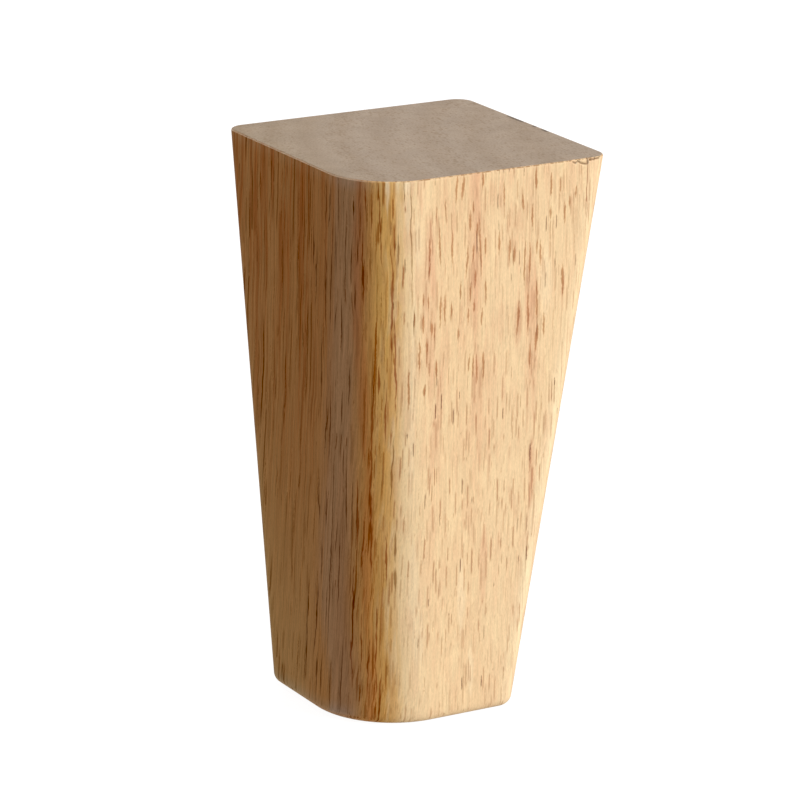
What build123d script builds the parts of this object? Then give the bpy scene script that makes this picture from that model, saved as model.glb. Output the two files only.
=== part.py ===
from build123d import *
import os

# Driving dimensions, in millimetres
leg_height = 120.0
seat_size = 60.0            # square top end, which seats under the furniture
foot_size = 39.5            # square lower end, which stands on the floor
outward_radius_seat = 14.0  # big round on the corner that faces out of the furniture, at the seat
outward_radius_foot = 19.0  # the same round at the foot, where it has opened out
corner_radius = 4.0         # round along the other three long corners
foot_edge_radius = 2.5      # round around the foot
seat_edge_radius = 0.4      # sawn arris around the seat, eased by sanding

# The two outward faces stand upright and meet at this corner, which both ends share.
outward_corner = Plane(origin=(-seat_size / 2, -seat_size / 2, 0))

# Side of the block after one saw cut: upright outside, leaning in to the foot inside.
sawn_side = (
    (-seat_size / 2, 0),
    (foot_size - seat_size / 2, 0),
    (seat_size / 2, leg_height),
    (-seat_size / 2, leg_height),
)

# Wood outside the opening round of the outward corner, between its arcs at the foot and the seat
with BuildPart() as corner_waste:
    for height, radius in ((0, outward_radius_foot), (leg_height, outward_radius_seat)):
        with BuildSketch(outward_corner.offset(height)):
            with BuildLine():
                outer_sides = Polyline((0, radius), (0, 0), (radius, 0))
                RadiusArc(outer_sides @ 0, outer_sides @ 1, -radius)
            make_face()
    loft()

with BuildPart() as leg:
    # The block is sawn once along each inward face
    for side, mode in ((Plane.XZ, Mode.ADD), (Plane.YZ, Mode.INTERSECT)):
        with BuildSketch(side):
            with BuildLine():
                Polyline(*sawn_side, close=True)
            make_face()
        extrude(amount=seat_size / 2, both=True, mode=mode)

    # Long corners, the outward one first
    long_corners = leg.edges().group_by(Axis.Z)[1].sort_by_distance(outward_corner.origin)
    fillet(long_corners[1:], corner_radius)
    add(corner_waste.part, mode=Mode.SUBTRACT)

    # Edges around the two ends
    fillet(leg.faces().sort_by(Axis.Z)[0].edges(), foot_edge_radius)
    fillet(leg.faces().sort_by(Axis.Z)[-1].edges(), seat_edge_radius)

leg.part.label = "leg"

os.makedirs("parts", exist_ok=True)
export_step(leg.part, "parts/leg.step")

print("leg volume", round(leg.part.volume / 1000, 1), "cm3")
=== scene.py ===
import math

import bpy
import numpy as np
from mathutils import Matrix, Vector


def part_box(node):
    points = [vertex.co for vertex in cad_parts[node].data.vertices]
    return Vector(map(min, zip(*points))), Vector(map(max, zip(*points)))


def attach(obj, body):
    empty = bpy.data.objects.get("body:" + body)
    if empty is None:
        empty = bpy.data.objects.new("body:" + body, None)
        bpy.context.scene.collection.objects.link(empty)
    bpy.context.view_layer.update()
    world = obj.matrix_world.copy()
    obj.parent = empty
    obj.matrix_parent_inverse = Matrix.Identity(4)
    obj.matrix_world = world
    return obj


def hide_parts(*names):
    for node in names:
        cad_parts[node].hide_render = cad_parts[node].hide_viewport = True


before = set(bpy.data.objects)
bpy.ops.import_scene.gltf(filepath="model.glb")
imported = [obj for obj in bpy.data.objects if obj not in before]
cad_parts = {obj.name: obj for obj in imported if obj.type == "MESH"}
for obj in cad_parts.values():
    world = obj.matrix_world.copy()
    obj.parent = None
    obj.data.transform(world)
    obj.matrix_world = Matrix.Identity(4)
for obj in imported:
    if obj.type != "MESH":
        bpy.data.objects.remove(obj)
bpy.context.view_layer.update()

mm = 0.001
legLow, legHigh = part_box("leg")
height = legHigh.z
half = -legLow.x                              # the outward faces stand half a seat from the origin
print("frame: leg is", round(height / mm, 1), "mm tall on a seat of", round(2 * half / mm, 1), "mm")


# A socket of the node tree being built, used like a number
class Wire:
    tree = None

    def __init__(self, socket):
        self.socket = socket

    # Any node: settings are set first, then each input gets a value or a link
    @classmethod
    def node(cls, kind, settings, inputs, output=0):
        node = cls.tree.nodes.new("ShaderNode" + kind)
        for name, value in settings.items():
            if name == "stops":
                cls.setStops(node.color_ramp, value)
            else:
                setattr(node, name, value)
        for name, value in inputs.items():
            if isinstance(value, Wire):
                cls.tree.links.new(value.socket, node.inputs[name])
            else:
                node.inputs[name].default_value = value
        return cls(node.outputs[output])

    @staticmethod
    def setStops(ramp, stops):
        ramp.elements.remove(ramp.elements[1])
        ramp.elements[0].position = stops[0][0]
        ramp.elements[0].color = (*stops[0][1], 1)
        for place, colour in stops[1:]:
            ramp.elements.new(place).color = (*colour, 1)

    @classmethod
    def maths(cls, operation, first, second=0.0):
        return cls.node("Math", {"operation": operation}, {0: first, 1: second})

    def __add__(self, other):
        return self.maths("ADD", self, other)

    def __radd__(self, other):
        return self.maths("ADD", other, self)

    def __sub__(self, other):
        return self.maths("SUBTRACT", self, other)

    def __rsub__(self, other):
        return self.maths("SUBTRACT", other, self)

    def __mul__(self, other):
        return self.maths("MULTIPLY", self, other)

    def __rmul__(self, other):
        return self.maths("MULTIPLY", other, self)

    def __truediv__(self, other):
        return self.maths("DIVIDE", self, other)


def vector(x, y, z):
    return Wire.node("CombineXYZ", {}, {0: x, 1: y, 2: z})


def split(source):
    node = Wire.node("SeparateXYZ", {}, {0: source}).socket.node
    return [Wire(socket) for socket in node.outputs]


def step(value, low, high):                   # 0 at low to 1 at high, smoothly; low may be the higher
    return Wire.node("MapRange", {"interpolation_type": "SMOOTHSTEP"}, {0: value, 1: low, 2: high})


def timesPlus(first, second, third):
    return Wire.node("Math", {"operation": "MULTIPLY_ADD"}, {0: first, 1: second, 2: third})


def mix(mask, low, high, blendType="MIX"):    # colours
    return Wire.node("Mix", {"data_type": "RGBA", "blend_type": blendType}, {0: mask, 6: low, 7: high}, 2)


def rgba(red, green, blue):
    return (red, green, blue, 1)


# Sizes repeat those of the solid
legForm = {
    "footSize": 39.5 * mm,
    "outwardSeat": 14 * mm,                   # big round at the seat
    "outwardFoot": 19 * mm,                   # and at the foot
    "corner": 4 * mm,
    "footEdge": 2.5 * mm,
    "seatEdge": 0.4 * mm,
}

# Spans of each side as (from, to, steps), finer where the edges are torn or nicked. Order: lit face,
# face to the right, back face, shaded face; each follows its corner's arc.
legMesh = {
    "arcs": (28, 40, 12, 14),
    "sides": (
        ((0, 0.78, 30), (0.78, 1, 64)),
        ((0, 0.3, 12), (0.3, 0.72, 120), (0.72, 1, 10)),
        ((0, 1, 20),),
        ((0, 1, 24),),
    ),
    "body": ((0, 0.8, 20), (0.8, 0.975, 12), (0.975, 1, 18)),
    "footRound": 10,
    "seatRound": 6,
    "capInsets": (0.006, 0.012, 0.018, 0.026, 0.036, 0.07, 0.2, 0.45, 0.72),
}


def spread(spans):                            # shares along a side, without its start
    return [a + (b - a) * (i + 1) / n for a, b, n in spans for i in range(n)]


def outline(size, outwardRadius):             # points around a level section, and the way each one faces
    points, facing = [], []
    far = size - half
    for turn in range(4):
        x, y = ((-half, -half), (far, -half), (far, far), (-half, far))[turn]
        nextX, nextY = ((far, -half), (far, far), (-half, far), (-half, -half))[turn]
        radius = legForm["corner"] if turn else outwardRadius
        nextRadius = outwardRadius if turn == 3 else legForm["corner"]
        along = np.array((nextX - x, nextY - y)) / size
        inward = np.array((-along[1], along[0]))
        centre = np.array((x, y)) + (along + inward) * radius
        for share in spread(((0, 1, legMesh["arcs"][turn]),)):
            out = -along * math.cos(share * math.pi / 2) - inward * math.sin(share * math.pi / 2)
            points.append(centre + radius * out)
            facing.append(out)
        start = np.array((x, y)) + along * radius
        for share in spread(legMesh["sides"][turn]):
            points.append(start + along * (size - radius - nextRadius) * share)
            facing.append(-inward)
    return np.array(points), np.array(facing)


def buildLegRings():                          # rings of points from the foot's middle to the seat's
    footLine, facing = outline(legForm["footSize"], legForm["outwardFoot"])
    seatLine, _ = outline(2 * half, legForm["outwardSeat"])
    lean = np.arctan2(((seatLine - footLine) * facing).sum(1), height)
    footEdge, seatEdge = legForm["footEdge"], legForm["seatEdge"]

    def at(z):
        return footLine + (seatLine - footLine) * (z / height)[:, None]

    def ring(flat, z):
        return np.column_stack((flat, np.broadcast_to(z, len(flat))))

    low = footEdge * (1 - np.sin(lean))       # where the edge rounds end on the long faces
    high = height - seatEdge * (1 + np.sin(lean))
    footCentre = at(low) - facing * (footEdge * np.cos(lean))[:, None]
    seatCentre = at(high) - facing * (seatEdge * np.cos(lean))[:, None]
    footMiddle, seatMiddle = footCentre.mean(0), seatCentre.mean(0)
    rings = []
    for inset in reversed(legMesh["capInsets"]):
        rings.append(ring(footCentre + (footMiddle - footCentre) * inset, 0))
    for i in range(legMesh["footRound"]):
        turn = (math.pi / 2 - lean) * i / legMesh["footRound"]
        out, z = footEdge * np.sin(turn), footEdge * (1 - np.cos(turn))
        rings.append(ring(footCentre + facing * out[:, None], z))
    for share in [0] + spread(legMesh["body"]):
        z = low + (high - low) * share
        rings.append(ring(at(z), z))
    for i in range(1, legMesh["seatRound"] + 1):
        turn = (math.pi / 2 + lean) * (1 - i / legMesh["seatRound"])
        out, z = seatEdge * np.sin(turn), height - seatEdge * (1 - np.cos(turn))
        rings.append(ring(seatCentre + facing * out[:, None], z))
    for inset in legMesh["capInsets"]:
        rings.append(ring(seatCentre + (seatMiddle - seatCentre) * inset, height))
    return np.array(rings), (*footMiddle, 0), (*seatMiddle, height)


# Small damage that the leg came with. Lengths in mm; depth runs down from the seat.
legMarks = {
    "tears": (                                # torn grain under the seat's edge, lit face: x and depth
        ((20.3, 0.25), (21.3, 0.78), (21.9, 0.35), (22.8, 0.98), (23.5, 1.18), (24.3, 1.28)),
        ((24.4, 0.30), (26.0, 0.48), (26.3, 0.32), (27.6, 0.40)),
    ),
    "splits": ((24.3, 0.05, 1.35), (26.1, 0.1, 0.45)),   # upright: x, and depth at each end
    "tearWidth": 0.16,
    "tearDepth": 0.32,
    "tearEnds": (0.5, 0.3),                   # lengths over which a tear starts and dies out
    "sliver": (0.3, 0.06),                    # wood above a tear: how soon it sinks, and how far
    "litFaceTo": -25.9,                       # y that the lit face's edge reaches back to
    "tornTo": 3,                              # depth below which nothing is torn
    "pits": ((-4.9, 1.4), (-0.7, 0.75), (7.1, 3.6)),     # seat's right edge: y and half length
    "pitMiddle": 29.3,                        # x of their middle line
    "pitWidth": 0.42,
    "pitDepth": 0.05,
    "pitTo": 0.6,                             # depth below which the edge isn't pitted
}


def markLeg(rings):                           # moves points inward at the marks; gives how much each is damaged, which the wood darkens with painted shade
    x, y, depth = rings[..., 0] / mm, rings[..., 1] / mm, (height - rings[..., 2]) / mm
    worn = np.zeros(x.shape)
    onLitFace = (y < legMarks["litFaceTo"]) & (depth < legMarks["tornTo"])
    starts, dies = legMarks["tearEnds"]
    sinksBy, sinksTo = legMarks["sliver"]
    for tear in legMarks["tears"]:
        xs, depths = np.array(tear).T
        offset = depth - np.interp(x, xs, depths)
        ends = np.clip((x - xs[0]) / starts, 0, 1) * np.clip((xs[-1] - x) / dies, 0, 1)
        cut = np.exp(-(offset / legMarks["tearWidth"]) ** 2) * ends * onLitFace
        sliver = np.clip(-offset / sinksBy, 0, 1) * ends * onLitFace * (depth > 0.05)
        rings[..., 1] += (cut * legMarks["tearDepth"] + sliver * sinksTo) * mm
        worn = np.maximum(worn, cut)
    for place, top, low in legMarks["splits"]:
        within = onLitFace & (depth > top) & (depth < low)
        cut = np.exp(-((x - place) / legMarks["tearWidth"]) ** 2) * within
        rings[..., 1] += cut * legMarks["tearDepth"] * (1 - worn) * mm
        worn = np.maximum(worn, cut)
    for place, reach in legMarks["pits"]:
        ragged = 0.7 + 0.3 * np.sin(y * 5.3) * np.sin(y * 2.1 + 1)
        ends = np.sqrt(np.clip(1 - ((y - place) / reach) ** 2, 0, 1))
        within = ends * ragged * (depth < legMarks["pitTo"])
        cut = np.exp(-((x - legMarks["pitMiddle"]) / legMarks["pitWidth"]) ** 2) * within
        rings[..., 2] -= cut * legMarks["pitDepth"] * mm
        worn = np.maximum(worn, np.minimum(1.5 * cut, 1))
    return worn


def buildLeg():
    rings, footMiddle, seatMiddle = buildLegRings()
    worn = markLeg(rings)
    count, around = rings.shape[:2]
    index = np.arange(count * around).reshape(count, around)
    onward = np.roll(index, -1, 1)
    quads = np.stack((index[:-1], onward[:-1], onward[1:], index[1:]), -1).reshape(-1, 4)
    foot, seat = count * around, count * around + 1
    fans = [(foot, b, a) for a, b in zip(index[0], onward[0])]
    fans += [(seat, a, b) for a, b in zip(index[-1], onward[-1])]
    mesh = bpy.data.meshes.new("leg")
    mesh.from_pydata([*rings.reshape(-1, 3).tolist(), footMiddle, seatMiddle], [], quads.tolist() + fans)
    mesh.attributes.new("worn", "FLOAT", "POINT").data.foreach_set("value", [*worn.ravel(), 0, 0])
    mesh.shade_smooth()
    leg = bpy.data.objects.new("wooden_leg", mesh)
    bpy.context.scene.collection.objects.link(leg)
    print("leg:", len(mesh.polygons), "faces, valid" if not mesh.validate() else "faces, mended")
    return leg


# Wood of the leg. Lengths in mm, colours linear. The grain leans a little towards the back as it goes
# down, so the lit face cuts the pores short and the shaded face cuts them lengthwise.
woodLook = {
    "pith": (85, -39),                        # middle of the tree, seen from above
    "leanAtSeat": 0.02,                       # slope of the grain at the seat
    "leanGain": 0.00033,                      # and how it grows downwards
    "drift": 2.6,                             # slow wander of the grain
    "ripple": 0.8,                            # and quick
    "rings": (50, 140),                       # distances from the pith that the colours below span
    "zones": (
        (0.05, (0.765, 0.565, 0.345)),
        (0.36, (0.755, 0.560, 0.340)),
        (0.41, (0.745, 0.540, 0.322)),
        (0.53, (0.755, 0.550, 0.328)),
        # the next two stops are paler: a painted highlight on the big round by the lit face
        (0.58, (0.80, 0.605, 0.370)),
        (0.604, (0.79, 0.590, 0.345)),
        (0.626, (0.70, 0.437, 0.180)),
        (0.644, (0.65, 0.375, 0.132)),
        (0.667, (0.65, 0.360, 0.130)),
        (0.689, (0.61, 0.333, 0.143)),
        (0.703, (0.58, 0.332, 0.177)),
        (0.716, (0.565, 0.345, 0.210)),
        (0.738, (0.56, 0.345, 0.210)),
        (0.749, (0.59, 0.310, 0.138)),
        (0.80, (0.62, 0.341, 0.150)),
        (0.825, (0.65, 0.363, 0.164)),
        (0.95, (0.655, 0.372, 0.170)),
    ),
    "creamTo": 105,                           # ring where the cream wood ends
    "brownFrom": 111,                         # and where the brown wood begins
    "greyBand": 115.7,                        # ring in the middle of a greyer band
    "flush": rgba(0.68, 0.420, 0.255),        # pinkish patches in the cream wood
    "pale": rgba(0.80, 0.615, 0.370),
    "russet": rgba(0.50, 0.175, 0.055),       # reddish streaks in the brown wood, more by the seat
    "russetAtSeat": 0.95,
    "tan": rgba(0.63, 0.397, 0.182),          # yellower brown by the foot
    "tanAtFoot": 0.5,
    "tanAtEdge": 0.3,                         # and more of it towards the back edge
    "poreInCream": rgba(0.56, 0.38, 0.32),    # these multiply the wood's colour
    "poreInGold": rgba(0.52, 0.30, 0.19),
    "poreInBrown": rgba(0.48, 0.35, 0.27),
    "speck": rgba(0.30, 0.20, 0.18),
    # Pores: spacing across, inwards and along the grain, and size as a share of it
    "dashes": (0.62, 1.30, 8, 0.29),
    "specks": (1.30, 2.60, 14, 0.10),
    "lines": (0.62, 0.90, 30, 0.30),
    "hairlines": (0.42, 0.60, 18, 0.20),
    # Listed marks: ring and z at the top, ring and z at the bottom, half width
    "crowds": (                               # pores crowd here
        (88.6, 136, 87.8, 80, 2.2),
        (87.6, 86, 86.0, 54, 1.6),
        (99.4, 116, 98.4, 68, 2.0),
        (95.6, 80, 98.2, 52, 1.4),
        (75.2, 106, 72.8, 64, 1.7),
        (77.6, 92, 77.4, 80, 1.2),
        (73.4, 62, 73.0, 44, 1.2),
        (84.6, 44, 84.6, 24, 1.2),
    ),
    "streaks": (                              # red-brown, by the big round
        (112.4, 120, 112.4, 113, 0.14),
        (112.65, 111, 112.3, 92, 0.15),
        (111.2, 117, 111.2, 108, 0.16),
        (110.2, 121, 109.2, 100, 0.15),
        (107.5, 107, 106.9, 79, 0.30),
        (106.6, 92, 105.9, 69, 0.22),
        (107.0, 113, 106.8, 102, 0.12),
        (109.4, 81, 109.2, 74, 0.22),
        (108.0, 76, 107.9, 63, 0.20),
        (110.3, 80, 110.3, 52, 0.22),
        (110.4, 60, 109.7, 33, 0.30),
        (112.4, 57, 112.1, 36, 0.20),
        (111.2, 47, 111.2, 33, 0.14),
        (107.3, 43, 107.0, 32, 0.18),
        (112.6, 38, 112.4, 9, 0.18),
        (111.0, 25, 111.0, 11, 0.14),
        (108.6, 28, 108.3, 5, 0.15),
        (109.7, 21, 109.8, 6, 0.14),
        (107.4, 13, 107.8, -4, 0.26),
        (61.35, 121, 61.3, 106, 0.10),        # below the torn edge
    ),
    "streak": rgba(0.50, 0.29, 0.25),         # multiplies the wood's colour
    "dabs": (                                 # brown dashes in the upper cream wood
        (95.5, 115.5, 95.5, 110, 0.22),
        (88.8, 114.5, 88.8, 110.8, 0.26),
        (97.8, 114, 97.8, 110.5, 0.20),
        (97.0, 110, 96.6, 101, 0.25),
        (93.8, 109, 93.7, 101, 0.27),
        (99.3, 108, 99.1, 102, 0.36),
        (99.0, 102, 99.4, 98.6, 0.27),
        (100.4, 96, 100.4, 92.8, 0.25),
        (99.3, 95.5, 99.2, 91.3, 0.20),
        (100.6, 91.5, 100.4, 86.5, 0.25),
        (98.5, 90, 98.4, 85.5, 0.30),
        (97.7, 89, 97.7, 84.5, 0.22),
        (96.2, 95, 96.4, 87.5, 0.27),
        (95.5, 95.5, 95.2, 87.5, 0.22),
        (93.8, 93.5, 93.8, 88.6, 0.20),
        (101.2, 86.5, 101.1, 77.5, 0.27),
        (99.6, 87, 99.4, 79.5, 0.26),
        (98.8, 81.2, 98.9, 77.4, 0.25),
        (97.2, 81, 97.2, 76.4, 0.25),
        (89.5, 91.5, 89.8, 87, 0.20),
        (88.0, 93, 88.2, 89.8, 0.25),
        (89.1, 97.5, 89.4, 91.2, 0.25),
        (88.0, 99.5, 88.2, 95, 0.25),
        (87.4, 112, 86.8, 97, 0.24),
        (90.0, 105, 90.4, 97.3, 0.28),
        (88.7, 105, 88.8, 100, 0.22),
        (87.9, 109.5, 88.0, 105.8, 0.25),
        (89.6, 112, 89.7, 106.8, 0.24),
        (85.7, 106, 85.8, 101.5, 0.25),
        (85.5, 97.5, 85.4, 91, 0.24),
        (86.4, 91, 86.5, 86.3, 0.22),
        (91.6, 97, 91.7, 92.8, 0.24),
        (92.0, 87.5, 92.0, 84, 0.30),
        (88.2, 81, 88.2, 75.5, 0.25),
        (87.4, 81.5, 87.4, 73.5, 0.24),
        (85.8, 82, 85.7, 73, 0.28),
        (89.1, 81.5, 89.4, 77, 0.24),
        (99.8, 76, 100.0, 73, 0.25),
        (103.4, 80, 103.4, 70, 0.24),
        (102.6, 92, 102.4, 88, 0.24),
        (70.2, 118, 70.2, 112.5, 0.25),
        (70.2, 111, 70.2, 107.3, 0.22),
        (65.5, 113, 65.4, 109.3, 0.25),
        (66.7, 111.5, 66.6, 106, 0.26),
        (74.6, 112, 74.4, 105.5, 0.25),
        (82.5, 107, 82.3, 101, 0.28),
        (80.0, 106, 79.9, 98.5, 0.24),
        (78.8, 103.5, 78.8, 99, 0.30),
        (75.0, 104, 74.9, 95, 0.27),
        (76.2, 105, 76.1, 94, 0.20),
        (73.3, 104.5, 73.2, 100.5, 0.25),
        (72.4, 104, 72.2, 97.5, 0.22),
        (66.9, 98, 66.6, 90.5, 0.32),
        (77.3, 91.5, 77.7, 83, 0.36),
        (75.1, 94, 75.0, 83, 0.28),
        (73.1, 95, 72.8, 86, 0.36),
        (72.6, 86, 73.0, 79, 0.36),
        (71.2, 88, 71.0, 82, 0.26),
        (74.4, 82, 74.3, 75.5, 0.25),
        (77.0, 115, 76.8, 110, 0.26),
        (92.9, 121, 93.0, 114, 0.28),
        (91.2, 121, 91.6, 114.5, 0.28),
        (86.8, 121, 86.7, 115.5, 0.25),
        (81.5, 118, 81.5, 112, 0.24),
        (73.8, 120, 73.8, 114, 0.24),
        (67.9, 117, 67.8, 112.5, 0.24),
        (64.0, 114.5, 64.0, 111.5, 0.20),
    ),
    "dab": rgba(0.64, 0.48, 0.39),
    "seams": (                                # dark lines in the greyer band
        (117.5, 119, 117.4, 107, 0.05),
        (117.1, 119, 117.15, 108, 0.05),
        (116.75, 118, 116.8, 81, 0.06),
        (116.4, 121, 115.95, 107, 0.06),
        (116.4, 110, 116.3, 98, 0.06),
        (116.15, 93, 116.25, 86, 0.07),
        (115.15, 113, 115.1, 95, 0.07),
        (115.5, 95, 115.2, 80, 0.10),
        (114.3, 107, 114.25, 96, 0.10),
        (114.1, 116, 114.1, 112, 0.10),
        (113.65, 99, 113.5, 91, 0.12),
        (113.3, 108, 113.4, 101, 0.10),
        (118.6, 109, 118.5, 98, 0.06),
        (118.25, 106, 118.2, 88, 0.05),
        (117.4, 104, 117.2, 83, 0.05),
        (117.55, 87, 117.4, 65, 0.05),
        (114.0, 82, 114.1, 69, 0.10),
        (115.0, 74, 115.1, 66, 0.11),
        (116.5, 75, 116.4, 57, 0.06),
        (116.8, 68, 117.0, 58, 0.06),
        (115.8, 66, 115.8, 11, 0.06),
        (114.6, 65, 114.6, 52, 0.07),
        (114.2, 60, 113.8, 41, 0.09),
        (113.15, 56, 113.05, 42, 0.08),
        (115.1, 46, 115.3, 37, 0.08),
        (114.7, 45, 114.7, 22, 0.09),
        (117.35, 54, 117.2, 41, 0.06),
        (116.6, 52, 116.5, 42, 0.06),
        (116.85, 40, 116.75, 29, 0.06),
        (116.1, 31, 116.1, 20, 0.06),
        (117.95, 33, 117.7, 4, 0.05),
        (117.0, 32, 117.1, 10, 0.06),
        (115.3, 14, 115.25, 0, 0.06),
        (113.85, 21, 113.9, -2, 0.09),
        (116.35, 16, 116.35, 2, 0.06),
        (116.85, 14, 116.7, 1, 0.05),
    ),
    "seam": rgba(0.44, 0.37, 0.33),
    "pencils": (                              # grey-brown streaks in the cream wood
        (103.9, 122, 103.1, 93, 0.17),
        (105.1, 121, 105.1, 115, 0.15),
        (106.2, 110, 106.1, 101, 0.17),
        (102.6, 93, 102.5, 86, 0.16),
        (106.1, 66, 106.7, 49, 0.20),
        (105.6, 44, 105.4, 37, 0.26),
        (105.3, 36, 105.2, 30, 0.26),
    ),
    "pencil": rgba(0.48, 0.38, 0.30),
    "glows": (                                # soft red-brown around some of the streaks
        (113.4, 130, 112.8, 72, 1.1),
        (112.2, 88, 111.2, 56, 1.0),
        (110.8, 66, 110.0, 14, 1.1),
        (109.3, 24, 108.8, -6, 1.1),
    ),
    "glow": rgba(0.95, 0.82, 0.81),
    "shades": (                               # darker wood of the band by the foot
        (115.0, 62, 112.3, -40, 1.6),
    ),
    "shade": rgba(0.91, 0.87, 0.85),
    "gleams": (                               # clearer gold by the seat
        (109.9, 128, 108.8, 64, 2.1),
    ),
    "gleam": rgba(1.05, 1.11, 1.10),
    "paleSpotsAndHighlights": (                             # whitish patches; by the big round, rings 100 to 109, partly a painted highlight
        (102.0, 44, 100.4, 12, 1.3),
        (104.6, 121, 104.2, 108, 0.9),
        (108.8, 132, 108.4, 112, 0.5),
        (102.2, 112, 101.8, 100, 0.8),
        (99.8, 27, 99.6, 13, 0.8),
        (90.2, 37, 89.8, 18, 1.1),
        (87.4, 17, 87.2, 4, 0.9),
        (102.7, 98, 102.4, 48, 0.7),
        (71.0, 103, 70.6, 86, 1.7),
    ),
    "paleSpotAndHighlight": rgba(0.82, 0.645, 0.415),
    "endGrain": rgba(0.400, 0.324, 0.259),
    "endRing": rgba(0.376, 0.298, 0.232),     # darker rings, midway between the light ones
    "endLight": (63, 76, 86, 96, 105.7, 112.7, 120.5, 127, 134),   # distances of those from the pith
    "endPore": rgba(0.27, 0.20, 0.14),
    "endOuter": rgba(0.94, 0.92, 0.86),       # multiplies the end grain of the outer rings
    "edgePaleAndSheen": rgba(1.06, 1.15, 1.21),         # multiplies the wood by the long edges, paler: partly sanded, partly a painted sheen
    "arrisHighlight": rgba(0.90, 0.74, 0.57),      # painted highlight along the arris on the shaded side
    "arrisShade": rgba(0.36, 0.21, 0.10),     # painted shade along the arris on the lit side
    "seatEdgeLight": rgba(1.08, 1.19, 1.38),           # painted light: multiplies the wood on the shaded side under the seat's edge, paler and greyer
    "footBounce": rgba(1.0, 1.24, 1.65),         # painted bounce light from the floor: multiplies the shaded side by the foot's edge
    # torn wood, darker: partly torn fibres, partly painted shade in the tears
    "torn": rgba(0.20, 0.11, 0.055),
    # painted shadow in the pits on the seat
    "pitShadow": rgba(0.11, 0.085, 0.07),
    "lacquer": 0.46,                          # roughness of the long faces
    "rougher": {"pore": 0.25, "end": 0.36, "worn": 0.2},
    "specular": 0.18,
    "reliefDepth": 0.06 * mm,
    "reliefShare": 0.6,
}


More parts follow.
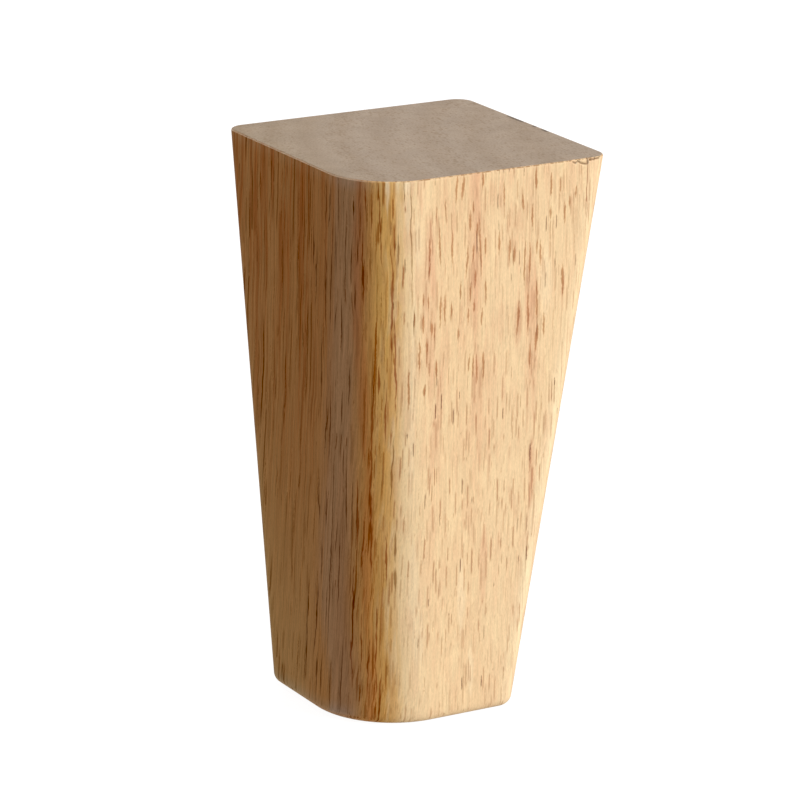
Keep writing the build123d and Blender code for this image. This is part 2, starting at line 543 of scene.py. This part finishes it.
def makeWood():
    look = woodLook
    material = bpy.data.materials.new("lacquered rubberwood")
    material.use_nodes = True
    Wire.tree = material.node_tree
    shader = Wire.tree.nodes["Principled BSDF"]

    def noise(place, detail=2.0, output=0):
        inputs = {"Vector": place, "Scale": 1, "Detail": detail, "Roughness": 0.55}
        return Wire.node("TexNoise", {}, inputs, output)

    def scaled(colour, tone):
        return Wire.node("VectorMath", {"operation": "SCALE"}, {0: colour, "Scale": tone})

    inMetres = Wire.node("TexCoord", {}, {}, "Object")
    x, y, z = split(scaled(inMetres, 1 / mm))
    normal = split(Wire.node("TexCoord", {}, {}, "Normal"))
    depth = height / mm - z

    # Place across the grain, which leans, wanders and ripples
    wanderX, wanderY, _ = split(noise(vector(x / 45, y / 45, z / 70), 1, "Color"))
    rippleX, rippleY, _ = split(noise(vector(x / 14, y / 14, z / 13), 2, "Color"))
    leaning = y - depth * look["leanAtSeat"] - depth * depth * look["leanGain"]
    across = x + (wanderX - 0.5) * look["drift"] + (rippleX - 0.5) * look["ripple"]
    inwards = leaning + (wanderY - 0.5) * look["drift"] + (rippleY - 0.5) * look["ripple"] * 2

    def fibre(wide, long, detail=2.0, seed=0.0):          # noise drawn out along the grain
        return noise(vector(across / wide + seed, inwards / wide, z / long), detail)

    # Growth rings, and the wood's colour by ring, with a painted highlight in the paler rings on the big
    # round by the lit face
    fromPithX, fromPithY = x - look["pith"][0], leaning - look["pith"][1]
    ring = Wire.maths("SQRT", fromPithX * fromPithX + fromPithY * fromPithY)
    radius = ring + (fibre(1.2, 25, seed=7) - 0.5) * 1.2 + step(z, 30, 4) * 1.6
    ringStart, ringEnd = look["rings"]

    def share(distance):
        return (distance - ringStart) / (ringEnd - ringStart)

    colour = Wire.node("ValToRGB", {"stops": look["zones"]}, {0: share(radius)})
    brown = step(radius, look["creamTo"], look["brownFrom"])
    wobble = fibre(1.2, 5, 2, seed=41) - 0.5

    # Listed marks along the grain, thin at both ends
    def spindles(kind, rough=0.0, sway=0.9):
        nearest = 9.0
        place = vector(ring + wobble * sway, z, 1)
        for topRing, top, lowRing, low, wide in look[kind]:
            slope, middle, reach = (topRing - lowRing) / (top - low), (top + low) / 2, (top - low) / 2
            weights = (1 / wide, -slope / wide, (low * slope - lowRing) / wide)
            off = Wire.node("VectorMath", {"operation": "DOT_PRODUCT"}, {0: place, 1: weights}, "Value")
            along = timesPlus(z, 1 / reach, -middle / reach)
            nearest = Wire.maths("MINIMUM", timesPlus(along, along, Wire.maths("ABSOLUTE", off)), nearest)
        return step(nearest + rough, 1.3, 0.4)

    # Patches in the cream wood, streaks in the brown
    lower = depth / (height / mm)
    crowd = spindles("crowds")
    patch = step(noise(vector(x / 7, y / 7, z / 11), 1), 0.42, 0.6)
    flush = step(fibre(2.0, 14, 3, seed=3), 0.46, 0.62) * (0.5 + 0.15 * patch)
    flush = flush * (1 - 0.55 * lower) + 0.7 * crowd
    pale = step(fibre(1.7, 20, seed=11), 0.52, 0.66)
    russet = 0.25 + 0.75 * step(fibre(1.3, 60, 3, seed=5), 0.42, 0.62)
    outer = step(ring, 115, 119)
    colour = mix(flush * (1 - brown) * 0.75, colour, look["flush"])
    colour = mix(pale * (1 - brown) * (0.55 - 0.4 * crowd), colour, look["pale"])
    # whitish patches, partly a painted highlight by the big round
    colour = mix(spindles("paleSpotsAndHighlights") * 0.6, colour, look["paleSpotAndHighlight"])
    colour = mix(russet * (1 - lower) * outer * look["russetAtSeat"], colour, look["russet"])
    tan = step(ring, 116.5, 118.5) * look["tanAtFoot"] + step(ring, 119, 125) * look["tanAtEdge"]
    colour = mix(step(lower, 0.4, 1) * tan, colour, look["tan"])
    colour = mix(spindles("gleams"), colour, look["gleam"], "MULTIPLY")
    fine = fibre(0.35, 18, 3, seed=19)
    hair = fibre(0.25, 0.8, 2, seed=23)
    tone = 1 + (fine - 0.5) * (0.4 + 0.45 * brown) + (hair - 0.5) * 0.3
    colour = scaled(colour, tone)

    # Pores: long thin cells along the grain, with ragged sides, turned on the face to the right
    fromRight = step(normal[0], 0.9, 0.95)

    def pores(kind, crowd):
        wide, deep, long, size = look[kind]
        ragged = (hair - 0.5) * 0.22
        wider = fromRight * (deep - wide)
        cells = vector((across + ragged) / (wide + wider), (inwards + ragged) / (deep - wider), z / long)
        inputs = {"Vector": cells, "Scale": 1}
        node = Wire.node("TexVoronoi", {"distance": "CHEBYCHEV"}, inputs).socket.node
        chance, strength, _ = split(Wire(node.outputs["Color"]))
        away = Wire(node.outputs["Distance"]) / (size * (0.45 + 0.8 * chance + 0.4 * crowd))
        return step(away, 1.15, 0.6) * (0.25 + 0.75 * strength)

    band = step(Wire.maths("ABSOLUTE", ring - look["greyBand"]), 3.5, 2)
    fading = 1 - 0.42 * lower                             # dashes are fainter towards the foot
    placed = step(z, 66, 74) * step(normal[1], -0.3, -0.7) * step(ring, 104.5, 103)
    dash = pores("dashes", 0.5 * patch + crowd) * fading * step(radius, 114, 109) * (1 - 0.45 * placed)
    lined = step(radius, look["creamTo"], look["brownFrom"] - 2) * (1 - 0.7 * band)
    line = pores("lines", 0.3) * (lined + 0.4 * step(ring, 84, 70))
    hairline = pores("hairlines", pale) * (0.3 + 0.45 * brown + 0.2 * band)
    speck = pores("specks", flush) * (1 - brown)
    pore = Wire.maths("MAXIMUM", Wire.maths("MAXIMUM", dash, line), hairline)
    poreTint = mix(step(radius, 104, 107), look["poreInCream"], look["poreInGold"])
    poreTint = mix(step(radius, 111, 114), poreTint, look["poreInBrown"])
    colour = mix(pore, colour, poreTint, "MULTIPLY")
    colour = mix(speck, colour, look["speck"], "MULTIPLY")

    # Listed marks, the darker ones uneven along their length
    uneven = (fibre(0.6, 3, 2, seed=47) - 0.5) * 1.6
    colour = mix(spindles("glows"), colour, look["glow"], "MULTIPLY")
    colour = mix(spindles("shades"), colour, look["shade"], "MULTIPLY")
    dab = spindles("dabs", uneven + (hair - 0.5) * 1.2, 0.8) * (1 - fromRight)
    colour = mix(dab, colour, look["dab"], "MULTIPLY")
    streak = spindles("streaks", uneven) * 0.9 * (1 - fromRight)
    colour = mix(streak, colour, look["streak"], "MULTIPLY")
    colour = mix(spindles("pencils", uneven) * 0.9, colour, look["pencil"], "MULTIPLY")
    colour = mix(spindles("seams", uneven * 0.6, 0.3), colour, look["seam"], "MULTIPLY")

    # Long edges between the outward and inward faces, paler: partly sanded wood, partly a painted sheen
    edgeAtFoot, edgeLean = (legForm["footSize"] - half) / mm, (2 * half - legForm["footSize"]) / height
    fromEdge = z * edgeLean + edgeAtFoot - Wire.maths("MAXIMUM", x, y)
    outward = step(Wire.maths("MAXIMUM", normal[0], normal[1]), 0.7, 0.35)
    often = 1.1 - 0.6 * step(Wire.maths("ABSOLUTE", z - 45), 15, 45)
    edgePaleAndSheen = step(fromEdge, 6.5, 2.5) * outward * often * (0.5 + fibre(1.5, 30, seed=61))
    colour = mix(edgePaleAndSheen, colour, look["edgePaleAndSheen"], "MULTIPLY")

    # End grain, and the arris sanded back around it; along the arris a painted highlight on the shaded
    # side and painted shade on the lit side
    upright = Wire.maths("ABSOLUTE", normal[2])
    endMask = step(upright, 0.8, 0.97)
    grit = fibre(0.45, 40, 2, seed=31)
    cloud = fibre(5, 200, 2, seed=37)
    stops = []
    for here, after in zip(look["endLight"], look["endLight"][1:]):
        stops += [(share(here), (1, 1, 1)), (share((here + after) / 2), (0, 0, 0))]
    rings = Wire.node("ValToRGB", {"stops": stops}, {0: share(ring + (cloud - 0.5) * 3)})
    endColour = mix(rings, look["endRing"], look["endGrain"])
    endColour = mix(pore * 0.6, endColour, look["endPore"])
    endColour = scaled(endColour, 1 + (grit - 0.5) * 0.5 + (cloud - 0.5) * 0.25)
    endColour = mix(step(ring, 100, 135), endColour, look["endOuter"], "MULTIPLY")
    arris = step(upright, 0.2, 0.45) * step(depth, 1.2, 0.6)
    shaded = step(normal[0], -0.45, -0.8)
    least = 0.25 + 0.4 * shaded
    paintedArris = arris * (least + (1 - least) * step(fibre(0.8, 90, 2, seed=53), 0.4, 0.6))
    lit = step(normal[0], -0.4, -0.05) * step(normal[1], -0.15, -0.45)
    paintedArris = paintedArris * (0.3 + 0.7 * Wire.maths("MAXIMUM", shaded, lit))
    arrisLightAndShade = mix(shaded, look["arrisShade"], look["arrisHighlight"])
    # Painted light: paler wood on the shaded side under the seat's edge
    seatEdgeLight = step(depth, 3.4, 0.4) * step(normal[0], -0.1, -0.3)
    colour = mix(seatEdgeLight, colour, look["seatEdgeLight"], "MULTIPLY")
    # Painted bounce light from the floor on the shaded side of the foot's edge
    footBounce = step(z, 5, 0.5) * step(normal[0], -0.72, -0.9)
    colour = mix(footBounce, colour, look["footBounce"], "MULTIPLY")
    colour = mix(paintedArris, colour, arrisLightAndShade)
    colour = mix(endMask, colour, endColour)

    # Painted shade in the tears, with their torn fibres, and painted shadow in the pits
    worn = Wire.node("Attribute", {"attribute_name": "worn"}, {}, "Fac")
    colour = mix(worn * 0.95, colour, mix(endMask, look["torn"], look["pitShadow"]))

    relief = (fine - 0.5) * 0.25 + (grit - 0.5) * endMask * 0.8
    inputs = {"Height": relief, "Distance": look["reliefDepth"], "Strength": look["reliefShare"]}
    bump = Wire.node("Bump", {}, inputs)
    rougher = look["rougher"]
    rough = look["lacquer"] + pore * rougher["pore"] + endMask * rougher["end"] + worn * rougher["worn"]
    for name, wire in {"Base Color": colour, "Roughness": rough, "Normal": bump}.items():
        Wire.tree.links.new(wire.socket, shader.inputs[name])
    shader.inputs["Specular IOR Level"].default_value = look["specular"]
    print("wood:", len(Wire.tree.nodes), "nodes")
    return material


leg = buildLeg()
leg.data.materials.append(makeWood())
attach(leg, "root")
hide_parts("leg")


# Pale floor that turns up into a wall all round. The object neither mirrors it nor takes light from it.
studioFloor = {
    "flat": 2.2,
    "bend": 0.8,
    "wall": 2.5,
    "turns": 96,
    "bendSteps": 12,
    "gap": 0.05 * mm,                         # keeps it clear of the foot's underside
    "paper": rgba(0.1, 0.1, 0.1),             # takes the shadow under the leg
    "glow": 0.95,
}


def buildFloor():
    flat, bend = studioFloor["flat"], studioFloor["bend"]
    turns, bendSteps = studioFloor["turns"], studioFloor["bendSteps"]
    profile = [(flat * share, 0) for share in (0.02, 0.1, 0.3, 0.6, 1)]
    for i in range(1, bendSteps + 1):
        angle = i / bendSteps * math.pi / 2
        profile.append((flat + bend * math.sin(angle), bend * (1 - math.cos(angle))))
    profile.append((flat + bend, studioFloor["wall"]))
    points, faces = [(0, 0, 0)], []
    for reach, level in profile:
        for i in range(turns):
            angle = 2 * math.pi * i / turns
            points.append((reach * math.cos(angle), reach * math.sin(angle), level))
    for i in range(turns):
        onward = (i + 1) % turns
        faces.append((0, 1 + i, 1 + onward))
        for row in range(len(profile) - 1):
            start = 1 + row * turns
            faces.append((start + i, start + turns + i, start + turns + onward, start + onward))
    mesh = bpy.data.meshes.new("floor")
    mesh.from_pydata(points, [], faces)
    mesh.shade_smooth()
    material = bpy.data.materials.new("white paper")
    material.use_nodes = True
    shader = material.node_tree.nodes["Principled BSDF"]
    shader.inputs["Base Color"].default_value = studioFloor["paper"]
    shader.inputs["Roughness"].default_value = 0.9
    shader.inputs["Emission Color"].default_value = rgba(1, 1, 1)
    shader.inputs["Emission Strength"].default_value = studioFloor["glow"]
    mesh.materials.append(material)
    floor = bpy.data.objects.new("floor", mesh)
    floor.location.z = -studioFloor["gap"]
    bpy.context.scene.collection.objects.link(floor)
    floor.visible_diffuse = False
    floor.visible_glossy = False
    floor.visible_shadow = False


# Soft lights, each by its way from the leg: degrees right of the lit face, degrees up, metres away
studioLights = {
    "key": {"turn": 38, "rise": 21, "away": 3.0, "size": 1.0, "watts": 98, "colour": (1, 1, 1)},
    "lift": {"turn": 30, "rise": -55, "away": 0.5, "size": 0.5, "watts": 0.45, "colour": (1, 1, 1)},
    "top": {"turn": 20, "rise": 86, "away": 1.4, "size": 0.9, "watts": 8.5, "colour": (1, 0.957, 0.905)},
    "back": {"turn": 165, "rise": 12, "away": 1.6, "size": 0.8, "watts": 10, "colour": (1, 1, 1)},
    "bounce": {"turn": -75, "rise": -35, "away": 0.2, "size": 0.15, "watts": 0.018,
               "colour": (1, 0.95, 0.88)},
}
roomLight = {
    "below": rgba(0.43, 0.387, 0.335),        # the pale floor lights the room
    "above": rgba(0.18, 0.162, 0.14),
    "black": 0.02,                            # light that the picture still shows as black
}


def lightStudio():
    middle = Vector((0, 0, height / 2))
    for name, light in studioLights.items():
        turn, rise = math.radians(light["turn"]), math.radians(light["rise"])
        way = Vector((math.sin(turn) * math.cos(rise), -math.cos(turn) * math.cos(rise), math.sin(rise)))
        lamp = bpy.data.lights.new(name, "AREA")
        lamp.energy = light["watts"]
        lamp.size = light["size"]
        lamp.color = light["colour"]
        holder = bpy.data.objects.new(name, lamp)
        holder.location = middle + way * light["away"]
        holder.rotation_euler = way.to_track_quat("Z", "Y").to_euler()
        bpy.context.scene.collection.objects.link(holder)
    world = bpy.data.worlds.new("room")
    world.use_nodes = True
    Wire.tree = world.node_tree
    way = split(Wire.node("TexCoord", {}, {}, "Generated"))
    room = mix(step(way[2], -0.3, 0.3), roomLight["below"], roomLight["above"])
    Wire.tree.links.new(room.socket, Wire.tree.nodes["Background"].inputs["Color"])
    bpy.context.scene.world = world
    view = bpy.context.scene.view_settings
    view.view_transform = "Standard"
    view.use_curve_mapping = True
    view.curve_mapping.black_level = [roomLight["black"]] * 3
    view.curve_mapping.update()
    print("studio:", ", ".join(studioLights))


# Where the photograph was taken from
photoCamera = {
    "azimuth": math.radians(-30.2182),
    "elevation": math.radians(17.073),
    "distance": 955.8 * mm,
    "right": -2.61 * mm,
    "up": 2.19 * mm,
    "roll": math.radians(-0.6907),
    "lens": 198.72,
}


def placeCamera():
    azimuth, elevation = photoCamera["azimuth"], photoCamera["elevation"]
    flat = math.cos(elevation)
    back = Vector((math.sin(azimuth) * flat, -math.cos(azimuth) * flat, math.sin(elevation)))
    right = Vector((math.cos(azimuth), math.sin(azimuth), 0))
    up = back.cross(right)
    eye = Vector((0, 0, height / 2)) + back * photoCamera["distance"]
    eye += right * photoCamera["right"] + up * photoCamera["up"]
    level = Matrix((right, up, back)).transposed().to_4x4()
    data = bpy.data.cameras.new("camera")
    data.lens = photoCamera["lens"]
    camera = bpy.data.objects.new("camera", data)
    camera.matrix_world = Matrix.Translation(eye) @ level @ Matrix.Rotation(-photoCamera["roll"], 4, "Z")
    bpy.context.scene.collection.objects.link(camera)
    bpy.context.scene.camera = camera
    print("camera:", round(photoCamera["distance"] / mm), "mm away")


buildFloor()
lightStudio()
placeCamera()
